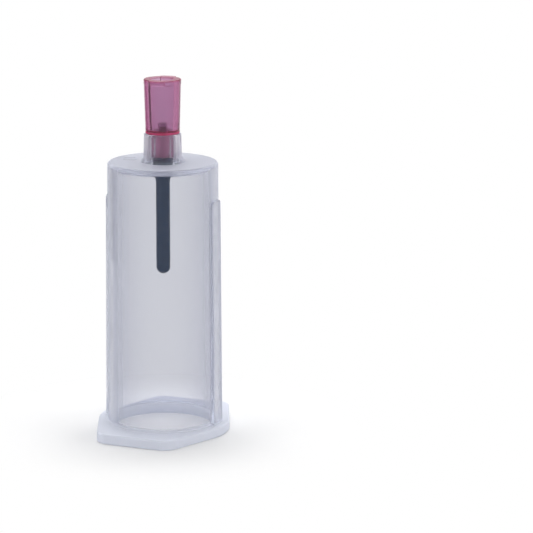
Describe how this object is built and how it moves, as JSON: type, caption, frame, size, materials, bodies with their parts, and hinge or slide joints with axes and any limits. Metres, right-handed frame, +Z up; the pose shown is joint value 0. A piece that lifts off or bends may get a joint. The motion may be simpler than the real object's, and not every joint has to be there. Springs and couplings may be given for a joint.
{
  "type": "blood transfer device",
  "caption": "Clear tube holder with a hexagonal finger flange, a female luer hub on top and a sleeved needle hanging inside.",
  "frame": {"origin": "centre of the flange's underside, on the barrel's axis, where the part stands", "axes": "+Z up the barrel to the luer, +X along the long way of the flange, grip rails at +Y and -Y"},
  "size_m": [0.0286, 0.024, 0.0638],
  "materials": {
    "clear_plastic": "clear moulded plastic, polished",
    "tinted_plastic": "translucent pink-red moulded plastic",
    "needle_steel": "drawn stainless tube",
    "adhesive": "cured adhesive, tinted by the hub",
    "sleeve_rubber": "matt dark rubber"
  },
  "bodies": {
    "holder": {"holder": "clear_plastic", "luer_hub": "tinted_plastic", "cannula": "needle_steel", "needle_adhesive": "adhesive"},
    "sleeve": {"rubber_sleeve": "sleeve_rubber"}
  },
  "joints": [
    {"name": "sleeve_retract", "type": "slide", "parent": "holder", "child": "sleeve", "axis": [0, 0, 1], "range_m": [0, 0.013], "stiffness_N_per_m": 100, "deforming": ["rubber_sleeve"]}
  ]
}
